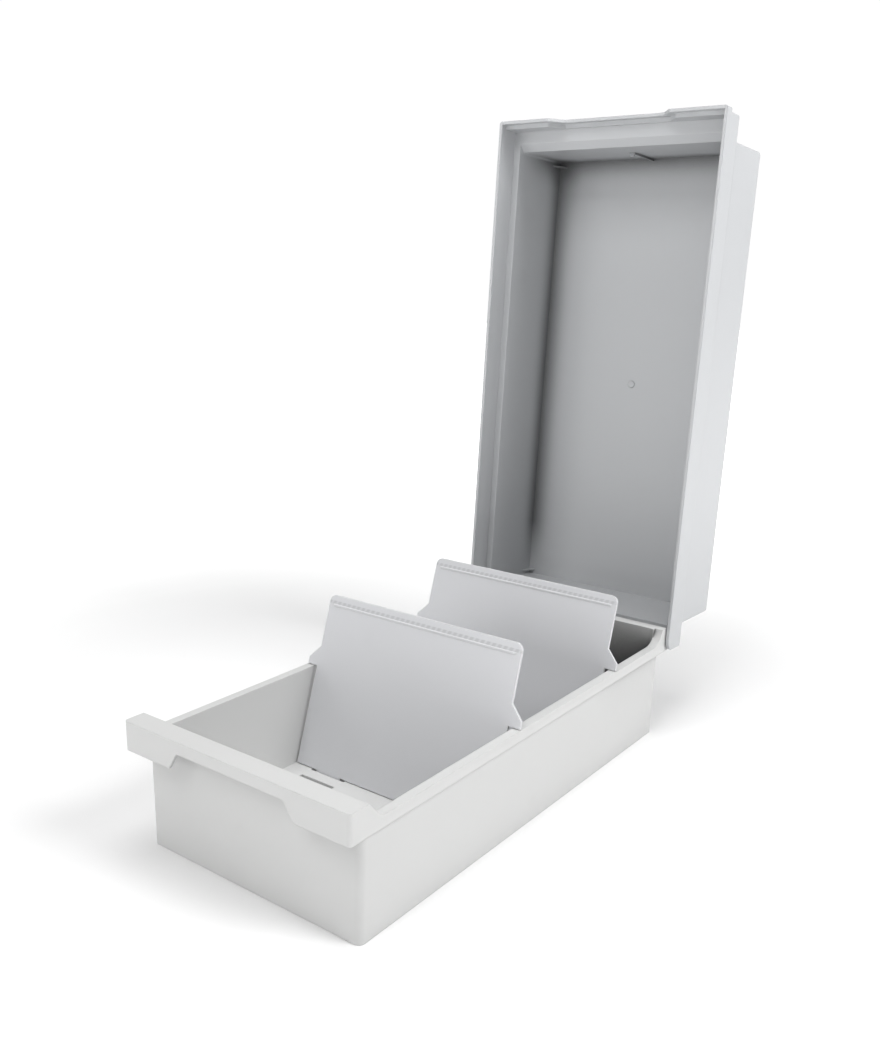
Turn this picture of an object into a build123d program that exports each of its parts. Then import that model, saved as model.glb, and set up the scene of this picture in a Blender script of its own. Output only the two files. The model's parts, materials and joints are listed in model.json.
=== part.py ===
from build123d import *
from math import cos, radians, sin, tan
import os

# Index card box: an open tray with two sliding card dividers under a deep lid that fits over the tray.
# X runs across, Y from the front lip to the hinge, Z up. The origin is the middle of the tray's base.
# The lid is modelled standing open, as the box is used, leaning back a little on its hinge.

# Tray body
base_length = 348.0
base_width = 164.2
tray_height = 84.4
tray_wall = 1.6
tray_draft = 0.34
body_corner = 4.0
floor_top = 7.1
floor_thickness = 2.4

# Rim, front lip and rear edge of the tray
side_rim_drop = 11.1
rim_overhang = 4.2
rim_skin = 2.2
skirt_height = 18.4
lip_reach = 13.3
lip_depth = 14.6
lip_corner = 2.5
lip_slope = 48.0
lip_slope_fillet = 8.0
rear_top_depth = 8.6
rear_curve_radius = 15.0
rear_curve_setback = 2.0
rear_step = 0.7
foot_reach = 8.0
foot_tip = 1.2

# Finger recess under the front lip
recess_width = 96.0
recess_top_width = 83.0
recess_height = 10.8
recess_corner = 3.5

# Slots in the floor that hold the dividers' tabs, and the ribs under the floor
slot_pitch = 12.5
slot_width = 3.4
slot_length = 29.2
slot_inset = 32.0
slot_front_margin = 35.2
slot_rear_margin = 30.4
rib_width = 2.0
cross_rib_count = 4
cross_rib_rows = 5

# Card dividers
divider_thickness = 1.8
divider_lean = 16.7
front_divider_row = 7
rear_divider_row = 5
divider_rise = 51.0
divider_rim_gap = 2.9
divider_foot_gap = 1.3
divider_top_corner = 5.0
divider_top_inset = 0.6
divider_waist_inset = 0.3
waist_height = 14.1
ear_tip = 5.0
ear_rest_gap = 0.15
ear_edge_gap = 0.5
tab_width = 20.8
tab_depth = 5.0
tab_corner = 1.2
foot_rest_gap = 0.15
slot_side_gap = 0.4
band_drop = 7.0
band_height = 1.2
band_relief = 0.35
band_inset = 4.0

# Lid
lid_wall = 2.2
lid_height = 85.2
lid_corner = 2.0
lid_draft = 0.5
side_gap = 1.0
front_gap = 0.6
seat_gap = 0.3
flange_cover = 19.7
ledge_thickness = 1.8
side_step = 5.3
front_step = 14.2
hinge_step = 13.0
box_corner = 4.0
crown_round = 1.5
lip_flare = 2.9
lip_flare_height = 7.6
lid_recess_width = 96.0
lid_recess_top_width = 78.0
lid_recess_depth = 11.0
chamfer_reach = 5.4
chamfer_rise = 4.6
mouth_round = 10.0

# Ribs inside the lid's crown
gusset_reach = 6.0
gusset_rise = 12.0
gusset_thickness = 1.0
gusset_offset = 3.0
catch_width = 1.4
catch_relief = 1.6
catch_length = 34.0
catch_head = 3.5
gate_radius = 2.6
gate_height = 0.5

# Hinge
open_angle = 93.0
hinge_behind_rear = 6.7
hinge_below_top = 11.2
knuckle_radius = 3.2
knuckle_wall_gap = 2.3
pin_radius = 1.5
pin_running_gap = 0.05
pin_press_gap = 0.02
pin_chamfer = 0.3
hinge_inset = 22.1
tray_ear_width = 6.0
knuckle_width = 9.2
knuckle_gap = 0.4
hinge_wall_cut = 10.5
notch_gap = 0.8

# Tray places worked out from the sizes above
draft_slope = tan(radians(tray_draft))
wall_lean = draft_slope * tray_height
body_half = base_width / 2 + wall_lean
body_front = -(base_length / 2 + wall_lean)
body_back = base_length / 2 + wall_lean
rim_half = body_half + rim_overhang
lip_front = body_front - lip_reach
lip_back = lip_front + lip_depth
rear_face = body_back + rear_step
rear_plate_front = rear_face - rear_top_depth
foot_end = rear_face + foot_reach
side_rim = tray_height - side_rim_drop
skirt_bottom = tray_height - skirt_height
floor_bottom = floor_top - floor_thickness
floor_lean = draft_slope * floor_top
inner_half_rim = base_width / 2 + draft_slope * side_rim - tray_wall
inner_half_floor = base_width / 2 + floor_lean - tray_wall
slope_foot = lip_back + side_rim_drop / tan(radians(lip_slope))
rear_curve_run = (2 * rear_curve_radius * side_rim_drop - side_rim_drop**2) ** 0.5
rear_curve_end = rear_plate_front + rear_curve_setback
rear_curve_start = rear_curve_end - rear_curve_run
cavity_front = -base_length / 2 - floor_lean + tray_wall
cavity_back = rear_plate_front - draft_slope * (tray_height - floor_top)
pocket_front = rear_plate_front + tray_wall
pocket_back = base_length / 2 - tray_wall

# Rows of floor slots, as many as the floor has room for
slot_spacing = base_width - 2 * slot_inset
slot_run = base_length - 2 * tray_wall - slot_front_margin - slot_rear_margin
slot_rows = int(slot_run / slot_pitch) + 1
first_slot = -base_length / 2 + tray_wall + slot_front_margin
slot_middle = first_slot + (slot_rows - 1) * slot_pitch / 2
front_slot = first_slot + front_divider_row * slot_pitch
rear_slot = first_slot + (slot_rows - 1 - rear_divider_row) * slot_pitch
cross_rib_step = cross_rib_rows * slot_pitch

# Hinge and lid places worked out from the tray
hinge_spacing = base_width - 2 * hinge_inset
hinge_y = rear_face + hinge_behind_rear
hinge_z = tray_height - hinge_below_top
hinge_u = knuckle_radius + knuckle_wall_gap + lid_wall
hinge_v = flange_cover - seat_gap - hinge_below_top
lid_half = rim_half + side_gap + lid_wall
lid_inner_half = lid_half - lid_wall
lid_length = hinge_y + hinge_u - lip_front + front_gap + lid_wall
flange_depth = flange_cover + ledge_thickness
box_half = lid_half - side_step
box_front = lid_length - front_step
box_length = box_front - hinge_step
box_middle = hinge_step + box_length / 2
box_lean = tan(radians(lid_draft))
crown_inside = lid_height - lid_wall
lid_recess_slope = (lid_recess_width - lid_recess_top_width) / 2 / lid_recess_depth
crown_inner_half = box_half - lid_wall - box_lean * (crown_inside - flange_depth)
crown_inner_front = box_front - lid_wall - box_lean * (crown_inside - flange_depth)
crown_inner_back = hinge_step + lid_wall + box_lean * (crown_inside - flange_depth)
lean = radians(open_angle - 90)
u_direction = Vector(0, sin(lean), cos(lean))
v_direction = Vector(0, cos(lean), -sin(lean))
hinge_point = Vector(0, hinge_y, hinge_z)
lid_origin = hinge_point - u_direction * hinge_u - v_direction * hinge_v

# Planes of the lid: its mouth, and its side with X up from the hinge end and Y from mouth to crown
mouth = Plane(origin=lid_origin, x_dir=(-1, 0, 0), z_dir=v_direction)
lid_side = Plane(origin=lid_origin, x_dir=u_direction, z_dir=(-1, 0, 0))


def across(distance):
    """Plane across the lid at a distance from its hinge end, with Y from the mouth to the crown."""
    return Plane(origin=lid_origin + u_direction * distance, x_dir=(1, 0, 0), z_dir=u_direction)


# Solid between the rim's top and the skirt's bottom, with the lip in front and the foot behind
with BuildPart() as rim_block:
    with BuildSketch(Plane.YZ):
        with BuildLine():
            Line((foot_end, skirt_bottom), (lip_front, skirt_bottom))
            Line((lip_front, skirt_bottom), (lip_front, tray_height))
            Line((lip_front, tray_height), (lip_back, tray_height))
            FilletPolyline(
                (lip_back, tray_height),
                (slope_foot, side_rim),
                (rear_curve_start, side_rim),
                radius=lip_slope_fillet,
            )
            RadiusArc((rear_curve_start, side_rim), (rear_curve_end, tray_height), -rear_curve_radius)
            Line((rear_curve_end, tray_height), (rear_face, tray_height))
            Line((rear_face, tray_height), (rear_face, skirt_bottom + foot_tip + foot_reach))
            RadiusArc(
                (rear_face, skirt_bottom + foot_tip + foot_reach),
                (foot_end, skirt_bottom + foot_tip),
                -foot_reach,
            )
            Line((foot_end, skirt_bottom + foot_tip), (foot_end, skirt_bottom))
        make_face()
    extrude(amount=rim_half, both=True)
    fillet(rim_block.edges().filter_by(Axis.Z).group_by(Axis.Y)[0], radius=lip_corner)

# Hollow under the rim's skin
with BuildPart() as rim_hollow:
    with BuildSketch(Plane.YZ):
        with BuildLine():
            hollow_top = tray_height - rim_skin
            hollow_rim = side_rim - rim_skin
            hollow_front = lip_front + rim_skin
            hollow_back = body_back - tray_wall
            hollow_slope = lip_back - rim_skin * tan(radians(lip_slope / 2))
            hollow_slope_foot = slope_foot - rim_skin * tan(radians(lip_slope / 2))
            Polyline(
                (hollow_front, skirt_bottom - rim_skin),
                (hollow_front, hollow_top),
                (hollow_slope, hollow_top),
                (hollow_slope_foot, hollow_rim),
                (hollow_back, hollow_rim),
                (hollow_back, skirt_bottom - rim_skin),
                close=True,
            )
        make_face()
    extrude(amount=rim_half - rim_skin, both=True)

# Outer shape of the body's walls, which runs up through the rim
with BuildPart() as body_block:
    with BuildSketch():
        RectangleRounded(base_width, base_length, body_corner)
    extrude(amount=tray_height - rim_skin, taper=-tray_draft)

# Space inside the tray's walls
with BuildPart() as cavity:
    with BuildSketch(Plane.XY.offset(floor_top)):
        with Locations((0, (cavity_front + cavity_back) / 2)):
            RectangleRounded(2 * inner_half_floor, cavity_back - cavity_front, body_corner - tray_wall)
    extrude(amount=tray_height + 1 - floor_top, taper=-tray_draft)

# Tray: walls, rim, floor with slots and ribs, finger recess and hinge ears
with BuildPart() as tray:
    add(rim_block.part)
    add(rim_hollow.part, mode=Mode.SUBTRACT)
    add(body_block.part)
    with BuildSketch(Plane.YZ):
        with BuildLine():
            Line((lip_back, tray_height), (rear_curve_end, tray_height))
            FilletPolyline(
                (lip_back, tray_height),
                (slope_foot, side_rim),
                (rear_curve_start, side_rim),
                radius=lip_slope_fillet,
            )
            RadiusArc((rear_curve_start, side_rim), (rear_curve_end, tray_height), -rear_curve_radius)
        make_face()
    extrude(amount=rim_half, both=True, mode=Mode.SUBTRACT)

    # Rear wall at its full height between the curved sides
    with BuildSketch(Plane.XY.offset(side_rim - rim_skin)):
        with Locations((0, (rear_plate_front - tray_wall + rear_curve_end) / 2)):
            Rectangle(2 * inner_half_rim, rear_curve_end - rear_plate_front + tray_wall)
    extrude(amount=tray_height - side_rim + rim_skin)
    add(cavity.part, mode=Mode.SUBTRACT)

    # Pocket between the two skins of the rear wall, open below
    with BuildSketch():
        with Locations((0, (pocket_front + pocket_back) / 2)):
            Rectangle(2 * inner_half_floor, pocket_back - pocket_front)
    extrude(amount=tray_height - 2 * rim_skin, mode=Mode.SUBTRACT)

    # Space under the floor inside the base rim, and its ribs
    with BuildSketch():
        RectangleRounded(base_width - 2 * tray_wall, base_length - 2 * tray_wall, body_corner - tray_wall)
    extrude(amount=floor_bottom, mode=Mode.SUBTRACT)
    with BuildSketch():
        Rectangle(rib_width, base_length - tray_wall)
        with Locations((0, slot_middle)):
            with GridLocations(0, cross_rib_step, 1, cross_rib_count):
                Rectangle(base_width - tray_wall, rib_width)
    extrude(amount=floor_bottom)

    # Slots for the dividers' tabs
    with BuildSketch(Plane.XY.offset(floor_top)):
        with Locations((0, slot_middle)):
            with GridLocations(slot_spacing, slot_pitch, 2, slot_rows):
                Rectangle(slot_length, slot_width)
    extrude(amount=-floor_thickness, mode=Mode.SUBTRACT)

    # Finger recess in the lip's skirt
    with BuildSketch(Plane.XZ.offset(-lip_front - rim_skin)):
        with BuildLine():
            Polyline(
                (-recess_width / 2, skirt_bottom),
                (-recess_top_width / 2, skirt_bottom + recess_height),
                (recess_top_width / 2, skirt_bottom + recess_height),
                (recess_width / 2, skirt_bottom),
                close=True,
            )
        recess_face = make_face()
        fillet(recess_face.vertices().group_by(Axis.Y)[-1], radius=recess_corner)
    extrude(amount=rim_skin, mode=Mode.SUBTRACT)

    # Room in the foot for the lid's knuckles
    with BuildSketch(Plane.XY.offset(skirt_bottom)):
        with Locations((0, rear_face + foot_reach / 2)):
            with GridLocations(hinge_spacing, 0, 2, 1):
                Rectangle(knuckle_width + 2 * notch_gap, foot_reach)
    extrude(amount=foot_tip + foot_reach, mode=Mode.SUBTRACT)

    # Ears that carry the hinge pins
    for side in (-1, 1):
        for end in (-1, 1):
            ear_middle = end * (knuckle_width / 2 + knuckle_gap + tray_ear_width / 2)
            ear_plane = Plane.YZ.offset(side * hinge_spacing / 2 + ear_middle)
            with BuildSketch(ear_plane):
                with Locations((hinge_y, hinge_z)):
                    Circle(knuckle_radius)
                with BuildLine():
                    Polyline(
                        (rear_face - rear_step, hinge_z + knuckle_radius),
                        (hinge_y, hinge_z + knuckle_radius),
                        (hinge_y, hinge_z - knuckle_radius),
                        (hinge_y - knuckle_radius, skirt_bottom + foot_tip / 2),
                        (rear_face - rear_step, skirt_bottom + foot_tip / 2),
                        close=True,
                    )
                make_face()
            extrude(amount=tray_ear_width / 2, both=True)
    with BuildSketch(Plane.YZ):
        with Locations((hinge_y, hinge_z)):
            Circle(pin_radius + pin_press_gap)
    extrude(amount=rim_half, both=True, mode=Mode.SUBTRACT)
tray.part.label = "tray"


# Divider: leaning plate with ears that rest on the side rims and tabs that stand in the floor slots
def divider_plane(slot_y):
    """Front face of a divider whose tabs stand in the slot at slot_y, with Y up along the plate."""
    face_y = slot_y - slot_width / 2 + slot_side_gap + floor_thickness * tan(radians(divider_lean))
    up = Vector(0, sin(radians(divider_lean)), cos(radians(divider_lean)))
    return Plane(origin=(0, face_y, floor_top), x_dir=(1, 0, 0), z_dir=Vector(1, 0, 0).cross(up))


plate_drop = divider_thickness * sin(radians(divider_lean))
plate_cos = cos(radians(divider_lean))
foot_level = (foot_rest_gap + plate_drop) / plate_cos
ear_level = (side_rim - floor_top + ear_rest_gap + plate_drop) / plate_cos
top_level = ear_level + divider_rise
foot_half = inner_half_floor - divider_foot_gap
neck_half = inner_half_rim - divider_rim_gap
waist_half = neck_half - divider_waist_inset
top_half = neck_half - divider_top_inset
ear_half = rim_half - ear_edge_gap

dividers = []
for divider_name, slot_y in (("divider_front", front_slot), ("divider_rear", rear_slot)):
    with BuildPart() as divider:
        face = divider_plane(slot_y)
        with BuildSketch(face) as outline:
            with BuildLine():
                Polyline(
                    (-foot_half, foot_level),
                    (foot_half, foot_level),
                    (neck_half, ear_level),
                    (ear_half, ear_level),
                    (ear_half, ear_level + ear_tip),
                    (waist_half, ear_level + waist_height),
                    (top_half, top_level),
                    (-top_half, top_level),
                    (-waist_half, ear_level + waist_height),
                    (-ear_half, ear_level + ear_tip),
                    (-ear_half, ear_level),
                    (-neck_half, ear_level),
                    close=True,
                )
            make_face()
            with Locations((0, foot_level - tab_depth / 2)):
                with GridLocations(slot_spacing, 0, 2, 1):
                    RectangleRounded(tab_width, tab_depth + 2 * tab_corner, tab_corner)
            fillet(outline.vertices().group_by(Axis.Y)[-1], radius=divider_top_corner)
        extrude(amount=-divider_thickness)

        # Raised line along the top edge, on the front
        with BuildSketch(face):
            with Locations((0, top_level - band_drop)):
                Rectangle(2 * (top_half - band_inset), band_height)
        extrude(amount=band_relief)
    divider.part.label = divider_name
    dividers.append(divider.part)


def flare_corners(reach):
    """Corners of an outline around the lid's finger recess, at a distance from its edge."""
    spread = reach * (1 + lid_recess_slope**2) ** 0.5
    near_half = lid_recess_width / 2 - lid_recess_slope * reach + spread
    far_half = lid_recess_top_width / 2 - lid_recess_slope * reach + spread
    near_side = [(near_half, reach), (near_half, 0), (-near_half, 0), (-near_half, reach)]
    return near_side + [(-far_half, lid_recess_depth + reach), (far_half, lid_recess_depth + reach)]


# Lid: flange that fits over the tray's rim, deep box behind it, flared front edge and hinge knuckles
with BuildPart() as lid:
    with BuildSketch(mouth):
        with Locations((0, lid_length / 2)):
            RectangleRounded(2 * lid_half, lid_length, lid_corner)
    extrude(amount=flange_depth)
    with BuildSketch(mouth):
        with Locations((0, lid_length + lip_flare - lid_recess_depth)):
            RectangleRounded(2 * lid_half, 2 * lid_recess_depth, lid_corner)
    extrude(amount=lip_flare_height)
    with BuildSketch(across(lid_length - lid_wall)):
        with BuildLine():
            Polyline(*flare_corners(lip_flare_height), close=True)
        make_face()
    extrude(amount=lid_wall + lip_flare)
    with BuildSketch(mouth.offset(flange_depth)):
        with Locations((0, box_middle)):
            RectangleRounded(2 * box_half, box_length, box_corner)
    extrude(amount=lid_height - flange_depth, taper=lid_draft)
    crown = lid.faces().filter_by(Plane(origin=(0, 0, 0), z_dir=v_direction)).sort_by(Axis.Y)[-1]
    fillet(crown.edges(), radius=crown_round)

    # Wedge outside the front step, behind the chamfer inside
    with BuildSketch(lid_side):
        with BuildLine():
            Polyline(
                (box_front - lid_wall, flange_depth - ledge_thickness / 2),
                (box_front - lid_wall + chamfer_reach + lid_wall, flange_depth - ledge_thickness / 2),
                (box_front + chamfer_reach - lid_wall / 2, flange_depth),
                (box_front, flange_depth + chamfer_rise),
                (box_front - lid_wall, flange_depth + chamfer_rise),
                close=True,
            )
        make_face()
    extrude(amount=box_half, both=True)

    # Room for the tray's rim, inside the flange and inside the flared edge
    with BuildSketch(mouth):
        with Locations((0, lid_length / 2)):
            Rectangle(2 * lid_inner_half, lid_length - 2 * lid_wall)
    extrude(amount=flange_cover, mode=Mode.SUBTRACT)
    with BuildSketch(mouth):
        with Locations((0, lid_length + lip_flare - lid_wall - lid_recess_depth)):
            Rectangle(2 * lid_inner_half, 2 * lid_recess_depth)
    extrude(amount=lip_flare_height - lid_wall, mode=Mode.SUBTRACT)
    with BuildSketch(across(lid_length - 2 * lid_wall)):
        with BuildLine():
            Polyline(*flare_corners(lip_flare_height - lid_wall), close=True)
        make_face()
    extrude(amount=lid_wall + lip_flare, mode=Mode.SUBTRACT)

    # Room for the cards, with a chamfer along the front
    with BuildSketch(mouth.offset(flange_cover)):
        with Locations((0, box_middle)):
            RectangleRounded(
                2 * (box_half - lid_wall + box_lean * ledge_thickness),
                box_length - 2 * lid_wall + 2 * box_lean * ledge_thickness,
                box_corner - lid_wall,
            )
    extrude(amount=crown_inside - flange_cover, taper=lid_draft, mode=Mode.SUBTRACT)
    with BuildSketch(lid_side):
        with BuildLine():
            Polyline(
                (box_front - 2 * lid_wall, flange_cover),
                (box_front - lid_wall + chamfer_reach, flange_cover),
                (box_front - lid_wall, flange_cover + chamfer_rise),
                (box_front - 2 * lid_wall, flange_cover + chamfer_rise),
                close=True,
            )
        make_face()
    extrude(amount=box_half - lid_wall, both=True, mode=Mode.SUBTRACT)

    # Finger recess in the front edge
    with BuildSketch(across(lid_length - 2 * lid_wall)):
        with BuildLine():
            Polyline(
                (-lid_recess_width / 2, 0),
                (-lid_recess_top_width / 2, lid_recess_depth),
                (lid_recess_top_width / 2, lid_recess_depth),
                (lid_recess_width / 2, 0),
                close=True,
            )
        lid_recess_face = make_face()
        fillet(lid_recess_face.vertices().group_by(Axis.Y)[-1], radius=recess_corner)
    extrude(amount=2 * lid_wall + 2 * lip_flare, mode=Mode.SUBTRACT)

    # Hinge end: wall cut back over the tray's foot, and rounded corners on the side walls
    with BuildSketch(lid_side):
        with Locations((lid_wall / 2, hinge_wall_cut / 2)):
            Rectangle(lid_wall, hinge_wall_cut)
    extrude(amount=lid_inner_half, both=True, mode=Mode.SUBTRACT)
    with BuildSketch(lid_side):
        with BuildLine():
            Polyline((0, mouth_round), (0, 0), (mouth_round, 0))
            CenterArc((mouth_round, mouth_round), mouth_round, 180, 90)
        make_face()
    extrude(amount=lid_half, both=True, mode=Mode.SUBTRACT)

    # Gussets in the crown's corners
    for gusset_u in (crown_inner_back + gusset_offset, crown_inner_front - gusset_offset - gusset_thickness):
        with BuildSketch(across(gusset_u)):
            for side in (-1, 1):
                with BuildLine():
                    Polyline(
                        (side * (crown_inner_half + lid_wall / 2), crown_inside + lid_wall / 2),
                        (side * (crown_inner_half - gusset_reach), crown_inside + lid_wall / 2),
                        (side * (crown_inner_half - gusset_reach), crown_inside),
                        (side * (crown_inner_half + box_lean * gusset_rise), crown_inside - gusset_rise),
                        (side * (crown_inner_half + lid_wall / 2), crown_inside - gusset_rise),
                        close=True,
                    )
                make_face()
        extrude(amount=gusset_thickness)

    # Slim rib with a small head down the middle of the front wall
    catch_end = crown_inner_front + box_lean * catch_length
    with BuildSketch(lid_side):
        with BuildLine():
            Polyline(
                (crown_inner_front + lid_wall / 2, crown_inside + lid_wall / 2),
                (crown_inner_front - catch_relief, crown_inside + lid_wall / 2),
                (crown_inner_front - catch_relief, crown_inside),
                (catch_end - catch_relief, crown_inside - catch_length),
                (catch_end + lid_wall / 2, crown_inside - catch_length),
                close=True,
            )
        make_face()
    extrude(amount=catch_width / 2, both=True)
    with BuildSketch(lid_side):
        with Locations((catch_end - catch_relief / 2, crown_inside - catch_length + catch_width / 2)):
            Rectangle(catch_relief + lid_wall, catch_width)
    extrude(amount=catch_head)

    # Mark left by the mould in the middle of the crown
    with BuildSketch(mouth.offset(crown_inside - gate_height)):
        with Locations((0, box_middle)):
            Circle(gate_radius)
    extrude(amount=gate_height + lid_wall / 2)

    # Knuckles that turn on the pins, each on a web down from the ledge
    for side in (-1, 1):
        with BuildSketch(lid_side.offset(side * hinge_spacing / 2)):
            with Locations((hinge_u, hinge_v)):
                Circle(knuckle_radius)
            with BuildLine():
                Polyline(
                    (lid_wall / 2, hinge_wall_cut),
                    (lid_wall / 2, flange_cover + ledge_thickness / 2),
                    (hinge_u + knuckle_radius, flange_cover + ledge_thickness / 2),
                    (hinge_u + knuckle_radius, hinge_v),
                    (hinge_u - knuckle_radius, hinge_v),
                    close=True,
                )
            make_face()
        extrude(amount=knuckle_width / 2, both=True)
    with BuildSketch(lid_side):
        with Locations((hinge_u, hinge_v)):
            Circle(pin_radius + pin_running_gap)
    extrude(amount=lid_inner_half, both=True, mode=Mode.SUBTRACT)
lid.part.label = "lid"


# Hinge pins, pressed into the tray's ears
pin_length = knuckle_width + 2 * (knuckle_gap + tray_ear_width)

pins = []
for pin_name, side in (("hinge_pin_left", -1), ("hinge_pin_right", 1)):
    with BuildPart() as pin:
        with BuildSketch(Plane.YZ.offset(side * hinge_spacing / 2)):
            with Locations((hinge_y, hinge_z)):
                Circle(pin_radius)
        extrude(amount=pin_length / 2, both=True)
        chamfer(pin.edges().filter_by(GeomType.CIRCLE), length=pin_chamfer)
    pin.part.label = pin_name
    pins.append(pin.part)


os.makedirs("parts", exist_ok=True)
export_step(tray.part, "parts/tray.step")
export_step(lid.part, "parts/lid.step")
for piece in dividers + pins:
    export_step(piece, f"parts/{piece.label}.step")
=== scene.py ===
"""Index card box: finishes for the moulded shells, dividers and hinge pins, and the stage they stand on."""
import json
import math

import bpy
import numpy as np
from mathutils import Matrix, Vector


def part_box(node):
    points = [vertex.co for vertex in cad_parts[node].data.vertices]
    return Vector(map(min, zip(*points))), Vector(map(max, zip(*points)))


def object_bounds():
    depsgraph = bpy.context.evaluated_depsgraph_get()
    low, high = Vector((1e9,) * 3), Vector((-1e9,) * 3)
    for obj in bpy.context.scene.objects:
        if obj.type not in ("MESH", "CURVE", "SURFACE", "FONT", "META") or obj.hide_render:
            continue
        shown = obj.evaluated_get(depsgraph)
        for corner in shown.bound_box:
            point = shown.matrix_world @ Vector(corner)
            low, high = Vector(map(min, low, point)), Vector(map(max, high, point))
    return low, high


bl_info = {
    "name": "Index Card Box",
    "version": (1, 0, 0),
    "blender": (4, 5, 0),
    "location": "3D View > Sidebar > Card Box",
    "description": "Dresses an index card box: shells, dividers, hinge pins and a plain stage",
    "category": "Object",
}

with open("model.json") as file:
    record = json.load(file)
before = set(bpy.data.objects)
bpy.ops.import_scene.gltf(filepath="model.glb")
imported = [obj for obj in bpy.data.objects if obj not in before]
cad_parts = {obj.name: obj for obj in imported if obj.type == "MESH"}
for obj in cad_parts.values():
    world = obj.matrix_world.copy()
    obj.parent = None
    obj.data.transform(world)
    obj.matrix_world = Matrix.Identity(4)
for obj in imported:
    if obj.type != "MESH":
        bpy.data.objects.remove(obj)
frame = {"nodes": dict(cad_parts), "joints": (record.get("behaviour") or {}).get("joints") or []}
CAD_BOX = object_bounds()

# Painted shade in inner corners, where shade falls: the distance over which it comes in, and its share of
# the plain colour
CORNER_SHADE_FADE = 0.04
CORNER_SHADE_TONE = 0.10
# Spread of the painted shade behind the rear divider, which keeps the light off that part of the tray, in
# corner reaches
REAR_SHADE_SPREAD = 5.0
# Distances past the lid's lowest and foremost points from which the painted shade in its hollow starts
HOLLOW_SHADE_RISE = 0.02
HOLLOW_SHADE_DEPTH = 0.04

# Point that the lights are turned to, and each light's name, place and side length
LIGHT_AIM = (0.0, 0.02, 0.14)
LIGHTS = (
    ("side", (1.4, 0.3, 1.3), 0.8),
    ("front", (0.0, -1.3, 1.6), 0.8),
    ("above", (0.0, 0.0, 1.9), 1.0),
    ("low", (-0.8, -1.8, 0.5), 0.8),
)

# Camera: place, direction from the subject back to it, and roll in radians
CAMERA_PLACE = (0.38965, -0.5433, 0.34494)
CAMERA_BACK = (0.5901, -0.7603, 0.27155)
CAMERA_ROLL = 0.01604


# Shader maths


class Wire:
    """A node's output that takes part in sums: each sum adds the Math node that works it out."""

    def __init__(self, paint, socket):
        self.paint = paint
        self.socket = socket

    def _math(self, operation, first, second):
        return self.paint.node("ShaderNodeMath", {"operation": operation}, [first, second])

    def __add__(self, other):
        return self._math("ADD", self, other)

    __radd__ = __add__

    def __sub__(self, other):
        return self._math("SUBTRACT", self, other)

    def __rsub__(self, other):
        return self._math("SUBTRACT", other, self)

    def __mul__(self, other):
        return self._math("MULTIPLY", self, other)

    __rmul__ = __mul__

    def __truediv__(self, other):
        return self._math("DIVIDE", self, other)

    def __rtruediv__(self, other):
        return self._math("DIVIDE", other, self)

    def __pow__(self, other):
        return self._math("POWER", self, other)


class Paint:
    def __init__(self, name):
        self.material = bpy.data.materials.new(name)
        self.material.use_nodes = True
        self.tree = self.material.node_tree
        self.surface = self.tree.nodes["Principled BSDF"]

    def node(self, kind, settings=None, inputs=(), output=0):
        """Adds a node, sets it, feeds its sockets with values or wires, and gives back one output."""
        made = self.tree.nodes.new(kind)
        for name, value in (settings or {}).items():
            if name == "stops":
                ramp = made.color_ramp
                ramp.elements[0].position, ramp.elements[0].color = value[0]
                ramp.elements[1].position, ramp.elements[1].color = value[-1]
                for position, colour in value[1:-1]:
                    ramp.elements.new(position).color = colour
            else:
                setattr(made, name, value)
        pairs = inputs.items() if isinstance(inputs, dict) else enumerate(inputs)
        for key, value in pairs:
            self.feed(made.inputs[key], value)
        return Wire(self, made.outputs[output])

    def feed(self, socket, value):
        """Links a wire to a socket, or sets the socket's own value."""
        if isinstance(value, Wire):
            self.tree.links.new(value.socket, socket)
        else:
            socket.default_value = value

    def place(self):
        """Place on the piece, in metres."""
        return self.node("ShaderNodeTexCoord", output="Object")

    def noise(self, scale, detail=2.0, roughness=0.5, stretch=(1.0, 1.0, 1.0)):
        """Cloudy pattern from 0 to 1, with features about 1 / scale metres across."""
        where = self.node("ShaderNodeMapping", inputs={"Vector": self.place(), "Scale": stretch})
        return self.node(
            "ShaderNodeTexNoise",
            inputs={"Vector": where, "Scale": scale, "Detail": detail, "Roughness": roughness},
        )

    def ramp(self, value, low, high):
        """0 below low, 1 above high, and a straight run between them."""
        return self.node("ShaderNodeMapRange", inputs=[value, low, high, 0.0, 1.0])

    def tint(self, share, first, second):
        """Colour between the first (share 0) and the second (share 1)."""
        return self.node("ShaderNodeMix", {"data_type": "RGBA"}, {0: share, 6: first, 7: second}, 2)

    def level(self, direction):
        """Distance in metres along a direction."""
        inputs = [self.place(), direction]
        return self.node("ShaderNodeVectorMath", {"operation": "DOT_PRODUCT"}, inputs, "Value")

    def corners(self, reach):
        """0 on open faces, and 1 deep in the piece's own inner corners, as seen within a reach."""
        open_share = self.node(
            "ShaderNodeAmbientOcclusion",
            {"samples": 8, "only_local": True},
            {"Distance": reach},
            "AO",
        )
        return self.ramp(1.0 - open_share, 0.06, 0.55)

    def edges(self, radius):
        """Shading normal of edges rounded to a radius, and a mask that is 1 on them."""
        rounded = self.node("ShaderNodeBevel", {"samples": 6}, {"Radius": radius})
        flat = self.node("ShaderNodeNewGeometry", output="Normal")
        likeness = self.node("ShaderNodeVectorMath", {"operation": "DOT_PRODUCT"}, [rounded, flat], "Value")
        return rounded, self.ramp(1.0 - likeness, 0.01, 0.2)

    def bump(self, height, distance, strength, normal=None):
        """Normal of a surface roughened by a height pattern."""
        inputs = {"Height": height, "Distance": distance, "Strength": strength}
        if normal is not None:
            inputs["Normal"] = normal
        return self.node("ShaderNodeBump", inputs=inputs)

    def finish(self, varying, constants):
        """Feeds the surface: patterns first, then the values that are the same all over."""
        for name, wire in varying.items():
            self.feed(self.surface.inputs[name], wire)
        for name, value in constants.items():
            self.surface.inputs[name].default_value = value
        return self.material


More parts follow.
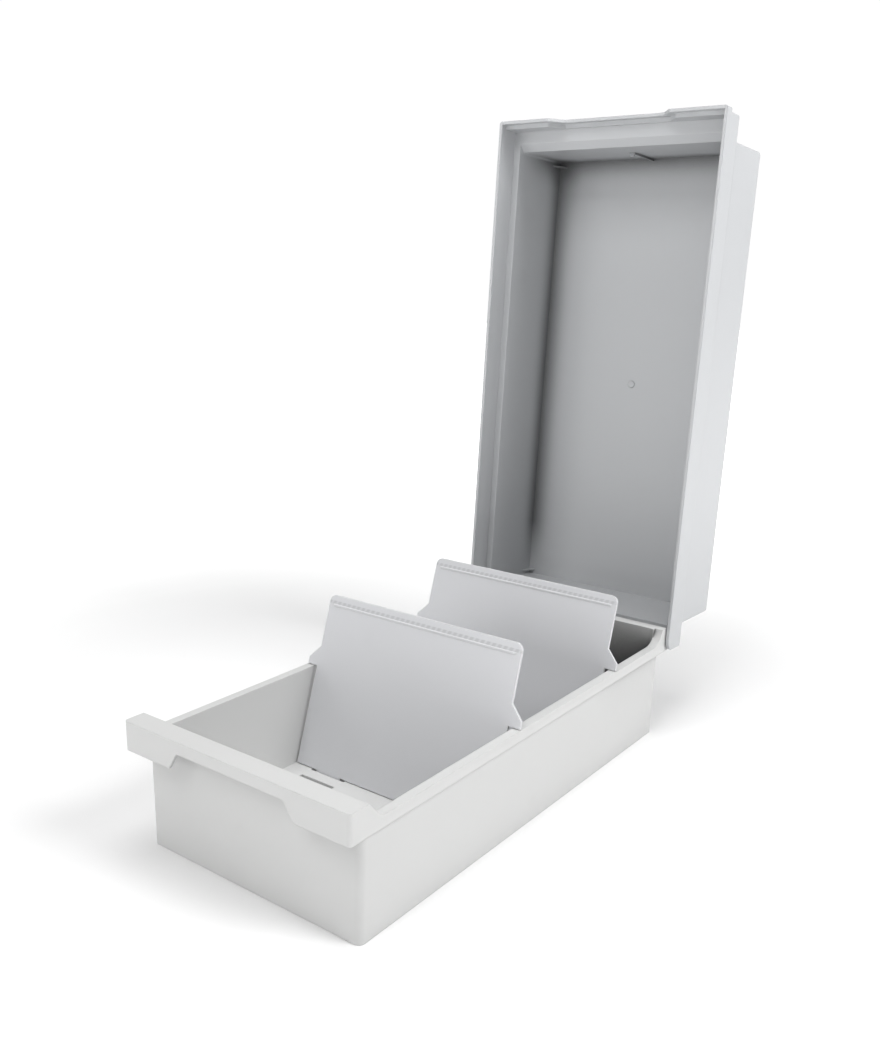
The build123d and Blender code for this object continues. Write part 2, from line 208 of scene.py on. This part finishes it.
def shade(colour, factor):
    """A colour made lighter or darker by a factor, with full alpha."""
    return tuple(min(1.0, channel * factor) for channel in colour[:3]) + (1.0,)


def moulded_plastic(name, colour, roughness, settings, shaded=None, hatch=None, edge_highlight=1.12):
    """Satin moulded plastic: grain, cloudy flow, painted shade in the inner corners, edges with a painted
    highlight and a little more gloss, and a hatched band.

    shaded gives the depth and the reach of the painted corner shade, and the directions and distances from
    which it starts. hatch gives the direction up a plate and its top's level.
    which it starts. hatch gives the direction up a plate and its top's level.
    """
    paint = Paint(name)
    rounded, edge = paint.edges(settings.edge_round)
    bright_edge = edge * (1.0 - paint.corners(5.0 * settings.edge_round))
    flow = paint.noise(9.0, 3.0, 0.45, (1.0, 0.6, 1.0))
    sink = paint.noise(38.0, 2.0, 0.5)
    grain = paint.noise(settings.grain_scale, 3.0, 0.6)
    rub = paint.noise(420.0, 4.0, 0.62, (1.0, 3.0, 0.6))
    body = paint.tint(paint.ramp(flow, 0.3, 0.7), shade(colour, 0.985), shade(colour, 1.012))
    body = paint.tint(paint.ramp(sink, 0.62, 0.8) * 0.5, body, shade(colour, 0.975))
    height = grain * 0.75 + rub * 0.25
    # Painted shade: the colour darkens towards the piece's own inner corners, past the given levels, as
    # shade falls there
    if shaded is not None:
        depth, reach, starts = shaded
        share = paint.corners(reach) * depth
        for direction, start in starts:
            share = share * paint.ramp(paint.level(direction), start, start + CORNER_SHADE_FADE)
        body = paint.tint(share, body, shade(colour, CORNER_SHADE_TONE))
    if hatch is not None:
        direction, top = hatch
        drop = top - paint.level(direction)
        row = paint.ramp(drop, 0.0038, 0.0042) * paint.ramp(drop, 0.0064, 0.0060)
        wave = (paint.level((1.0, 0.0, 0.0)) + drop * 0.5) * (2.0 * math.pi / settings.hatch_pitch)
        strokes = paint.ramp(paint.node("ShaderNodeMath", {"operation": "SINE"}, [wave]), -0.6, 0.0)
        body = paint.tint(row * (0.35 + strokes * 0.65), body, shade(colour, 0.80))
        height = height + row * strokes * -2.0
    # Painted highlight: the rounded outer edges are made lighter by the edge highlight factor, the concave
    # ones are left out
    body = paint.tint(bright_edge * 0.8, body, shade(colour, edge_highlight))
    gloss = roughness + (flow - 0.5) * 0.08 + (rub - 0.5) * 0.10 - bright_edge * 0.10
    soft = paint.bump(sink, 0.0006, 0.12, rounded)
    return paint.finish(
        {
            "Base Color": body,
            "Roughness": gloss,
            "Normal": paint.bump(height, 0.00004, 0.30, soft),
        },
        {"IOR": 1.5, "Specular IOR Level": 0.42, "Subsurface Weight": 0.0},
    )


def drawn_steel(name, colour, settings):
    """Drawn steel wire: fine lines along the pin, bright where the ends are cut."""
    paint = Paint(name)
    rounded, bright_edge = paint.edges(settings.edge_round * 0.3)
    lines = paint.noise(6000.0, 3.0, 0.6, (0.02, 1.0, 1.0))
    spots = paint.noise(900.0, 3.0, 0.55)
    body = paint.tint(paint.ramp(spots, 0.45, 0.75), shade(colour, 1.0), shade(colour, 0.86))
    body = paint.tint(bright_edge, body, shade(colour, 1.15))
    gloss = 0.26 + lines * 0.16 + paint.ramp(spots, 0.5, 0.8) * 0.1
    return paint.finish(
        {"Base Color": body, "Roughness": gloss, "Normal": paint.bump(lines, 0.00001, 0.5, rounded)},
        {"Metallic": 1.0},
    )


def dress(node, material):
    """Gives a CAD node its material in every slot."""
    target = frame["nodes"][node]
    if not target.material_slots:
        target.data.materials.append(material)
    for slot in target.material_slots:
        slot.material = material


# Settings


class CardBoxFinish(bpy.types.PropertyGroup):
    tray_colour: bpy.props.FloatVectorProperty(
        name="Tray colour",
        description="Colour of the tray",
        subtype="COLOR",
        size=3,
        min=0.0,
        max=1.0,
        default=(0.575, 0.577, 0.573),
    )
    lid_colour: bpy.props.FloatVectorProperty(
        name="Lid colour",
        description="Colour of the lid, a little deeper than the tray's",
        subtype="COLOR",
        size=3,
        min=0.0,
        max=1.0,
        default=(0.475, 0.484, 0.496),
    )
    divider_colour: bpy.props.FloatVectorProperty(
        name="Divider colour",
        description="Colour of the card dividers, a little bluer than the shells",
        subtype="COLOR",
        size=3,
        min=0.0,
        max=1.0,
        default=(0.585, 0.59, 0.608),
    )
    pin_colour: bpy.props.FloatVectorProperty(
        name="Pin colour",
        description="Colour of the hinge pins' steel",
        subtype="COLOR",
        size=3,
        min=0.0,
        max=1.0,
        default=(0.60, 0.60, 0.61),
    )
    roughness: bpy.props.FloatProperty(
        name="Roughness",
        description="Roughness of the moulded plastic",
        min=0.0,
        max=1.0,
        default=0.42,
    )
    edge_round: bpy.props.FloatProperty(
        name="Edge round",
        description="Radius of the moulded edges",
        subtype="DISTANCE",
        unit="LENGTH",
        min=0.0,
        default=0.0008,
    )
    # Painted highlight on the dividers' rounded edges: how much lighter they are made
    edge_highlight: bpy.props.FloatProperty(
        name="Edge lift",
        description="How much lighter the dividers' rubbed edges are",
        min=0.5,
        max=2.0,
        default=1.75,
    )
    # Reach of the painted shade in the inner corners
    corner_shade_reach: bpy.props.FloatProperty(
        name="Corner reach",
        description="How far the dull tone of the inner corners spreads",
        subtype="DISTANCE",
        unit="LENGTH",
        min=0.001,
        default=0.022,
    )
    # Depth of the painted shade in the lid's inner corners
    corner_shade_depth: bpy.props.FloatProperty(
        name="Corner depth",
        description="How dull the inner corners of the lid are",
        subtype="FACTOR",
        min=0.0,
        max=1.0,
        default=0.85,
    )
    hatch_pitch: bpy.props.FloatProperty(
        name="Hatch pitch",
        description="Distance between the strokes along the dividers' top band",
        subtype="DISTANCE",
        unit="LENGTH",
        min=0.0002,
        default=0.0042,
    )
    grain_scale: bpy.props.FloatProperty(
        name="Grain scale",
        description="Fineness of the mould's grain, in features per metre",
        min=1.0,
        default=2600.0,
    )


class CardBoxStage(bpy.types.PropertyGroup):
    floor_colour: bpy.props.FloatVectorProperty(
        name="Floor colour",
        description="Colour of the floor",
        subtype="COLOR",
        size=3,
        min=0.0,
        max=1.0,
        default=(0.80, 0.80, 0.80),
    )
    ambient: bpy.props.FloatProperty(
        name="Ambient light",
        description="Strength of the even light from all round",
        min=0.0,
        default=0.30,
    )
    floor_glow: bpy.props.FloatProperty(
        name="Floor glow",
        description="Light that the floor gives off near the box",
        min=0.0,
        max=1.0,
        default=0.10,
    )
    side_power: bpy.props.FloatProperty(
        name="Side light",
        description="Power of the light high on the right",
        subtype="POWER",
        unit="POWER",
        min=0.0,
        default=22.5,
    )
    front_power: bpy.props.FloatProperty(
        name="Front light",
        description="Power of the light high in front",
        subtype="POWER",
        unit="POWER",
        min=0.0,
        default=11.5,
    )
    above_power: bpy.props.FloatProperty(
        name="Light above",
        description="Power of the light right above",
        subtype="POWER",
        unit="POWER",
        min=0.0,
        default=14.0,
    )
    low_power: bpy.props.FloatProperty(
        name="Low light",
        description="Power of the light low on the front left",
        subtype="POWER",
        unit="POWER",
        min=0.0,
        default=7.0,
    )
    lens: bpy.props.FloatProperty(
        name="Lens",
        description="Focal length of the camera",
        subtype="DISTANCE_CAMERA",
        unit="CAMERA",
        min=1.0,
        default=43.61,
    )


# Operators


class CARDBOX_OT_shells(bpy.types.Operator):
    """Finish the tray and the lid as satin moulded plastic"""

    bl_idname = "cardbox.shells"
    bl_label = "Shells"

    def execute(self, context):
        finish = context.scene.card_box_finish
        depth, reach = finish.corner_shade_depth, finish.corner_shade_reach
        # Painted shade behind the rear divider, where the divider keeps the light off the tray
        rear = (1.0, REAR_SHADE_SPREAD * reach, [((0.0, 1.0, 0.0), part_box("divider_rear")[0][1])])
        dress("tray", moulded_plastic("tray_plastic", finish.tray_colour, finish.roughness, finish, rear))
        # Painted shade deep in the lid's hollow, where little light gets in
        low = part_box("lid")[0]
        starts = [((0.0, 0.0, 1.0), low[2] + HOLLOW_SHADE_RISE), ((0.0, 1.0, 0.0), low[1] + HOLLOW_SHADE_DEPTH)]
        hollow = (depth, reach, starts)
        dress("lid", moulded_plastic("lid_plastic", finish.lid_colour, finish.roughness, finish, hollow))
        return {"FINISHED"}


class CARDBOX_OT_dividers(bpy.types.Operator):
    """Finish the card dividers as satin moulded plastic"""

    bl_idname = "cardbox.dividers"
    bl_label = "Dividers"

    def execute(self, context):
        finish = context.scene.card_box_finish
        for name in ("divider_front", "divider_rear"):
            corners = np.empty(3 * len(frame["nodes"][name].data.vertices))
            frame["nodes"][name].data.vertices.foreach_get("co", corners)
            lift = next(joint for joint in frame["joints"] if joint["child"] == name)
            up = np.array(lift["axis"])
            top = float((corners.reshape(-1, 3) @ up).max())
            hatch = (tuple(float(value) for value in up), top)
            colour, roughness = finish.divider_colour, finish.roughness - 0.04
            plastic = moulded_plastic(
                name + "_plastic", colour, roughness, finish, hatch=hatch, edge_highlight=finish.edge_highlight
            )
            dress(name, plastic)
        return {"FINISHED"}


class CARDBOX_OT_pins(bpy.types.Operator):
    """Finish the hinge pins as drawn steel wire"""

    bl_idname = "cardbox.pins"
    bl_label = "Hinge pins"

    def execute(self, context):
        finish = context.scene.card_box_finish
        steel = drawn_steel("pin_steel", finish.pin_colour, finish)
        dress("hinge_pin_left", steel)
        dress("hinge_pin_right", steel)
        return {"FINISHED"}


def floor_mesh(name, reach, height):
    """Square sheet: x and y run over a grid of two parameters, and z is the same all over."""
    steps = np.linspace(-reach, reach, 9)
    across, along = np.meshgrid(steps, steps)
    places = np.stack([across, along, np.full_like(across, height)], axis=-1).reshape(-1, 3)
    first = np.arange(8)[:, None] * 9 + np.arange(8)[None, :]
    faces = np.stack([first, first + 1, first + 10, first + 9], axis=-1).reshape(-1, 4)
    mesh = bpy.data.meshes.new(name)
    mesh.from_pydata(places.tolist(), [], faces.tolist())
    piece = bpy.data.objects.new(name, mesh)
    bpy.context.scene.collection.objects.link(piece)
    return piece


def dome_mesh(name, radius, height):
    """Upper half ball: a point lies at a turn round Z and a rise from the rim, a radius from the middle."""
    turns = np.linspace(0.0, 2.0 * math.pi, 48, endpoint=False)
    rises = np.linspace(0.0, 0.5 * math.pi, 13)[:-1]
    turn, rise = np.meshgrid(turns, rises)
    places = np.stack([np.cos(turn) * np.cos(rise), np.sin(turn) * np.cos(rise), np.sin(rise)], axis=-1)
    places = np.concatenate([places.reshape(-1, 3) * radius, [[0.0, 0.0, radius]]]) + [0.0, 0.0, height]
    across = np.arange(48)
    beside = (across + 1) % 48
    rows = np.arange(11)[:, None] * 48
    above = rows + 48
    walls = np.stack([rows + across, above + across, above + beside, rows + beside], axis=-1).reshape(-1, 4)
    cap = np.stack([11 * 48 + across, np.full(48, 12 * 48), 11 * 48 + beside], axis=-1)
    mesh = bpy.data.meshes.new(name)
    mesh.from_pydata(places.tolist(), [], walls.tolist() + cap.tolist())
    piece = bpy.data.objects.new(name, mesh)
    bpy.context.scene.collection.objects.link(piece)
    return piece


def area_light(name, place, aim, size, power):
    """Soft square light at a place, turned to a point."""
    data = bpy.data.lights.new(name, "AREA")
    data.shape = "RECTANGLE"
    data.size = size
    data.size_y = size
    data.energy = power
    lamp = bpy.data.objects.new(name, data)
    direction = Vector(aim) - Vector(place)
    lamp.matrix_world = Matrix.Translation(place) @ direction.to_track_quat("-Z", "Y").to_matrix().to_4x4()
    bpy.context.scene.collection.objects.link(lamp)


class CARDBOX_OT_stage(bpy.types.Operator):
    """Add the floor, the lights and the camera"""

    bl_idname = "cardbox.stage"
    bl_label = "Stage"

    def execute(self, context):
        scene = context.scene
        stage = scene.card_box_stage

        # The floor glows white far from the box, so that it meets the backdrop without a horizon
        paint = Paint("floor")
        cloud = paint.noise(3.0, 2.0, 0.5)
        pale = paint.tint(cloud, shade(stage.floor_colour, 0.995), shade(stage.floor_colour, 1.005))
        away = paint.node("ShaderNodeVectorMath", {"operation": "LENGTH"}, [paint.place()], "Value")
        soft = {"interpolation_type": "SMOOTHSTEP"}
        far = paint.node("ShaderNodeMapRange", soft, [away, 0.35, 1.1, 0.0, 1.0])
        near_glow = shade((stage.floor_glow,) * 3, 1.0)
        glow = paint.tint(far, near_glow, (1.0, 1.0, 1.0, 1.0))
        material = paint.finish(
            {"Base Color": pale, "Emission Color": glow},
            {"Roughness": 0.85, "Specular IOR Level": 0.2, "Emission Strength": 1.0},
        )
        floor = floor_mesh("floor", 6.0, CAD_BOX[0][2] - 0.0002)
        floor.data.materials.append(material)

        # The backdrop is a white dome that only shows: it neither lights the box nor shades it
        paint = Paint("backdrop")
        cloud = paint.noise(0.5, 2.0, 0.5)
        white = paint.tint(cloud, (1.0, 1.0, 1.0, 1.0), (0.99, 0.99, 0.99, 1.0))
        material = paint.finish(
            {"Emission Color": white},
            {"Base Color": (0.0, 0.0, 0.0, 1.0), "Emission Strength": 1.02, "Specular IOR Level": 0.0},
        )
        dome = dome_mesh("backdrop", 5.8, CAD_BOX[0][2] - 0.3)
        dome.data.materials.append(material)
        dome.visible_diffuse = False
        dome.visible_glossy = False
        dome.visible_transmission = False
        dome.visible_shadow = False

        world = bpy.data.worlds.new("studio")
        world.use_nodes = True
        world.node_tree.nodes["Background"].inputs["Color"].default_value = (1.0, 1.0, 1.0, 1.0)
        world.node_tree.nodes["Background"].inputs["Strength"].default_value = stage.ambient
        scene.world = world
        scene.view_settings.view_transform = "Standard"

        for name, place, size in LIGHTS:
            area_light(name, place, LIGHT_AIM, size, getattr(stage, name + "_power"))

        # The camera looks down a little on the front right corner, from about three quarters of a metre
        back = Vector(CAMERA_BACK).normalized()
        level = (-back).cross(Vector((0.0, 0.0, 1.0))).normalized()
        above = level.cross(-back)
        right = level * math.cos(CAMERA_ROLL) + above * math.sin(CAMERA_ROLL)
        up = above * math.cos(CAMERA_ROLL) - level * math.sin(CAMERA_ROLL)
        lens = bpy.data.cameras.new("camera")
        lens.sensor_fit = "HORIZONTAL"
        lens.sensor_width = 36.0
        lens.lens = stage.lens
        lens.shift_x = 0.0479
        lens.shift_y = 0.0383
        lens.clip_start = 0.01
        camera = bpy.data.objects.new("camera", lens)
        turn = Matrix((right, up, back)).transposed().to_4x4()
        camera.matrix_world = Matrix.Translation(CAMERA_PLACE) @ turn
        scene.collection.objects.link(camera)
        scene.camera = camera
        return {"FINISHED"}


class CARDBOX_PT_panel(bpy.types.Panel):
    """Sizes, colours and steps of the index card box"""

    bl_idname = "CARDBOX_PT_panel"
    bl_label = "Index Card Box"
    bl_space_type = "VIEW_3D"
    bl_region_type = "UI"
    bl_category = "Card Box"

    def draw(self, context):
        layout = self.layout
        for group in (context.scene.card_box_finish, context.scene.card_box_stage):
            box = layout.box()
            for name in group.__annotations__:
                box.prop(group, name)
        for step in STEPS:
            layout.operator(step.bl_idname)


STEPS = (CARDBOX_OT_shells, CARDBOX_OT_dividers, CARDBOX_OT_pins, CARDBOX_OT_stage)
CLASSES = (CardBoxFinish, CardBoxStage) + STEPS + (CARDBOX_PT_panel,)


def register():
    for item in CLASSES:
        bpy.utils.register_class(item)
    bpy.types.Scene.card_box_finish = bpy.props.PointerProperty(type=CardBoxFinish)
    bpy.types.Scene.card_box_stage = bpy.props.PointerProperty(type=CardBoxStage)


def unregister():
    del bpy.types.Scene.card_box_stage
    del bpy.types.Scene.card_box_finish
    for item in reversed(CLASSES):
        bpy.utils.unregister_class(item)


def main():
    """Registers the classes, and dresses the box."""
    register()
    bpy.ops.cardbox.shells()
    bpy.ops.cardbox.dividers()
    bpy.ops.cardbox.pins()
    bpy.ops.cardbox.stage()


if __name__ == "__main__":
    main()
